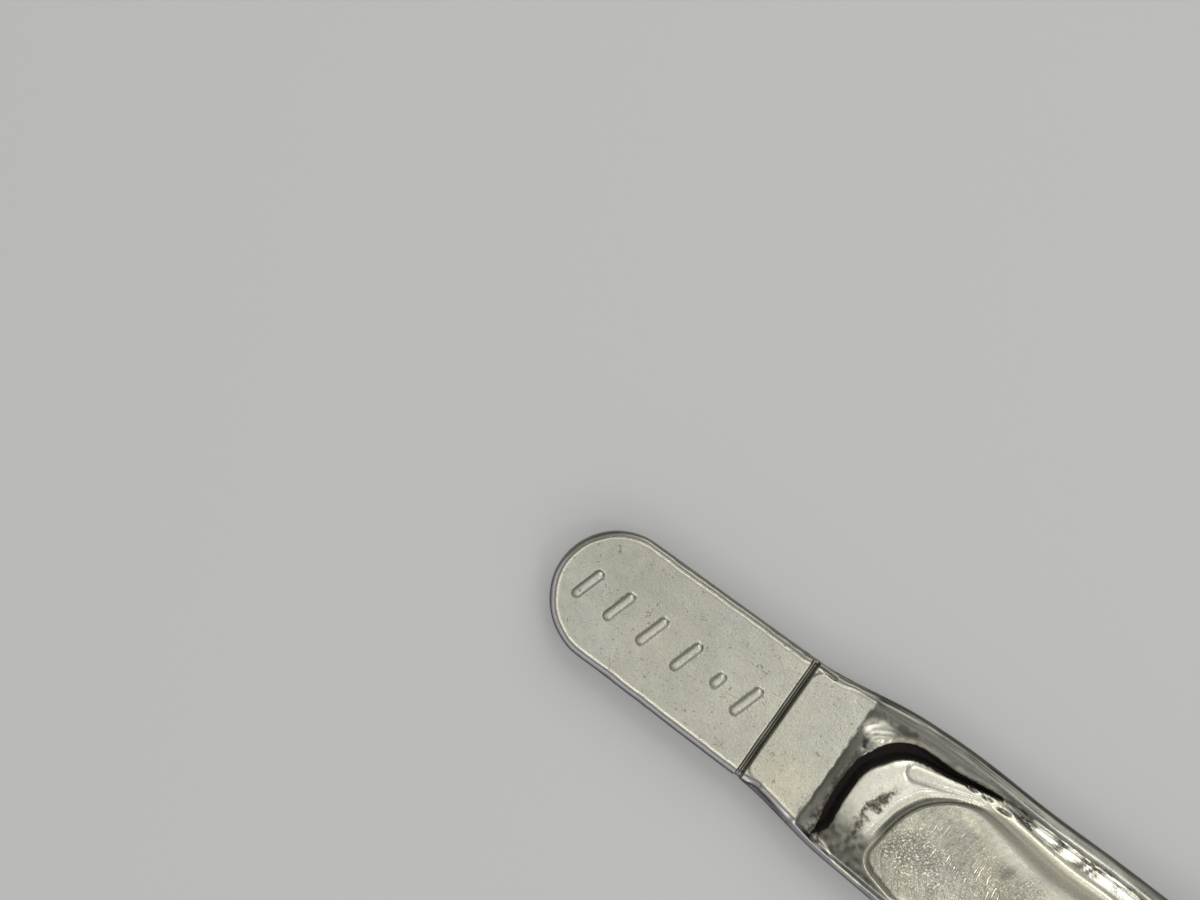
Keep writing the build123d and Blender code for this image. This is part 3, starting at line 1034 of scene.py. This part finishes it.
def tin_colour(tree, grit, ring, stained, cavity):
    """Tin from a painted lilac reflection through neutral to cream, which also paints highlights, scaled
    by the painted tone with its painted highlights and shade, with darker pits, painted glints on the
    trough, brown dirt and a black cavity of painted shade.
    """
    hue = mask(tree, "hue")
    colour = blend_colours(tree, ease(tree, hue, -1.0, 0.0), REFLECTED_LILAC, NEUTRAL_TIN)
    colour = blend_colours(tree, ease(tree, hue, 0.0, 1.0), colour, CREAM_TIN_AND_HIGHLIGHT)
    spots = calc(tree, "SUBTRACT", 1.0, times(tree, blots(tree, 0.45), 0.35))
    speckle = calc(tree, "ADD", 1.0, times(tree, even_grain(tree, 0.28, 2.0), 0.45))
    arcs = times(tree, arc_grain(tree, ring, 0.36, 0.8, 3.0), grit, 0.55)
    # Painted glints: the crust's grains and the streaks along the arcs are painted brighter
    crumbs = times(tree, specks(tree), 1.5)
    streaks = times(tree, streak_lines(tree, ring), 1.8)
    flecks = total(tree, 1.0, arcs, crumbs, streaks)
    cracks = calc(tree, "SUBTRACT", 1.0, times(tree, hairlines(tree), mask(tree, "grain"), 0.55))
    colour = shade(tree, colour, times(tree, mask(tree, "tone"), spots, speckle, flecks, cracks))
    colour = blend_colours(tree, stained, colour, DIRT)
    return blend_colours(tree, cavity, colour, CAVITY_SHADE)


def shade(tree, colour, tone):
    """A colour made lighter or darker by a factor."""
    node = add(tree, "ShaderNodeVectorMath", operation="SCALE")
    tree.links.new(colour, node.inputs[0])
    feed(tree, node.inputs["Scale"], tone)
    return node.outputs[0]


def cavity_share(tree):
    """1 on the cavity's walls and floor, below the edges that it opens between, where it is painted
    black as painted shade.
    """
    place = add(tree, "ShaderNodeSeparateXYZ")
    tree.links.new(add(tree, "ShaderNodeTexCoord").outputs["Object"], place.inputs[0])
    low, high = CAVITY_SHADE_TOP
    below = calc(tree, "SUBTRACT", 1.0, ease(tree, place.outputs["Z"], low * MM, high * MM))
    return times(tree, below, ease(tree, mask(tree, "pit"), 0.3, 0.6))


def tin_material():
    material = bpy.data.materials.new("cast_tin_surface")
    material.use_nodes = True
    tree = material.node_tree
    shader = tree.nodes["Principled BSDF"]
    grit, ring, polish = mask(tree, "grit"), mask(tree, "ring"), mask(tree, "polish")
    cavity = cavity_share(tree)
    edges = even_grain(tree, 0.35, 3.0)
    stained = ease(tree, calc(tree, "ADD", mask(tree, "stain"), times(tree, edges, 1.3)), 0.08, 1.25)
    feed(tree, shader.inputs["Base Color"], tin_colour(tree, grit, ring, stained, cavity))
    # Metal and roughness change under real dirt and under the cavity's painted shade
    dirt_and_shade = calc(tree, "MAXIMUM", stained, cavity)
    feed(tree, shader.inputs["Metallic"], blend_values(tree, dirt_and_shade, 1.0, 0.2))
    satin = calc(tree, "ADD", SATIN_ROUGHNESS, times(tree, even_grain(tree, 1.6, 3.0), 0.16))
    finish = blend_values(tree, polish, satin, GLOSS_ROUGHNESS)
    finish = blend_values(tree, grit, finish, GRIT_ROUGHNESS)
    feed(tree, shader.inputs["Roughness"], blend_values(tree, dirt_and_shade, finish, 0.75))
    relief = add(tree, "ShaderNodeBump")
    relief.inputs["Strength"].default_value = 1.0
    relief.inputs["Distance"].default_value = MM
    feed(tree, relief.inputs["Height"], tin_height(tree, grit, mask(tree, "grain"), ring))
    feed(tree, shader.inputs["Normal"], relief.outputs[0])
    return material


def floor_material():
    material = bpy.data.materials.new("pale_table")
    material.use_nodes = True
    shader = material.node_tree.nodes["Principled BSDF"]
    shader.inputs["Base Color"].default_value = FLOOR_COLOUR
    shader.inputs["Roughness"].default_value = 0.75
    shader.inputs["Specular IOR Level"].default_value = 0.2
    return material


def make_floor():
    mesh = bpy.data.meshes.new("floor")
    half = FLOOR_HALF
    corners = [(-half, -half, 0), (half, -half, 0), (half, half, 0), (-half, half, 0)]
    mesh.from_pydata(corners, [], [(0, 1, 2, 3)])
    floor = bpy.data.objects.new("floor", mesh)
    bpy.context.scene.collection.objects.link(floor)
    mesh.materials.append(floor_material())
    return floor


def make_world():
    """Plain soft room: bright overhead, dimmer walls, darkest on the far side under a window."""
    world = bpy.data.worlds.new("soft_room")
    bpy.context.scene.world = world
    world.use_nodes = True
    tree = world.node_tree
    direction = add(tree, "ShaderNodeSeparateXYZ")
    tree.links.new(add(tree, "ShaderNodeTexCoord").outputs["Generated"], direction.inputs[0])
    overhead = ease(tree, direction.outputs["Z"], *CEILING_RISE)
    near = ease(tree, calc(tree, "MULTIPLY", direction.outputs["Y"], -1.0), *NEAR_TURN)
    far = ease(tree, direction.outputs["Y"], *FAR_TURN)
    ends = ease(tree, direction.outputs["X"], *END_TURN)
    walls = blend_colours(tree, near, blend_colours(tree, ends, TAB_WALL, REAR_WALL), NEAR_WALLS)
    walls = blend_colours(tree, far, walls, FAR_WALLS)
    light = blend_colours(tree, overhead, walls, CEILING)
    high = ease(tree, direction.outputs["Z"], *WINDOW_RISE)
    sideways = calc(tree, "ABSOLUTE", direction.outputs["X"])
    narrow = calc(tree, "SUBTRACT", 1.0, ease(tree, sideways, *WINDOW_SIDES))
    window = times(tree, high, narrow, ease(tree, direction.outputs["Y"], *WINDOW_FRONT))
    light = blend_colours(tree, window, light, WINDOW)
    seen = add(tree, "ShaderNodeLightPath").outputs["Is Camera Ray"]
    light = blend_colours(tree, seen, light, BACKDROP)
    tree.links.new(light, tree.nodes["Background"].inputs["Color"])


def make_lamp(name, place, size, strength, colour):
    """Soft rectangular lamp that faces the front of the bar."""
    lamp = bpy.data.lights.new(name, "AREA")
    lamp.shape = "RECTANGLE"
    lamp.size, lamp.size_y = size
    lamp.energy = strength * np.pi * size[0] * size[1]
    lamp.color = colour
    holder = bpy.data.objects.new(name, lamp)
    bpy.context.scene.collection.objects.link(holder)
    place = Vector(place)
    facing = (Vector(LAMP_TARGET) - place).to_track_quat("-Z", "Y")
    holder.matrix_world = Matrix.Translation(place) @ facing.to_matrix().to_4x4()


def make_camera():
    camera = bpy.data.cameras.new("camera")
    camera.lens = CAMERA_LENS
    camera.sensor_width = CAMERA_SENSOR
    camera.clip_start = 0.005
    holder = bpy.data.objects.new("camera", camera)
    bpy.context.scene.collection.objects.link(holder)
    ahead = Vector(CAMERA_VIEW).normalized()
    right = ahead.cross(Vector(CAMERA_UP)).normalized()
    up = right.cross(ahead)
    turn = Matrix((right, up, -ahead)).transposed()
    holder.matrix_world = Matrix.Translation(Vector(CAMERA_PLACE)) @ turn.to_4x4()
    bpy.context.scene.camera = holder


bar = make_bar()
bar.data.materials.append(tin_material())
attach(bar, "root")
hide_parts("tin_bar")
make_floor()
make_world()
for lamp in LAMPS:
    make_lamp(*lamp)
make_camera()
bpy.context.scene.view_settings.view_transform = "Standard"
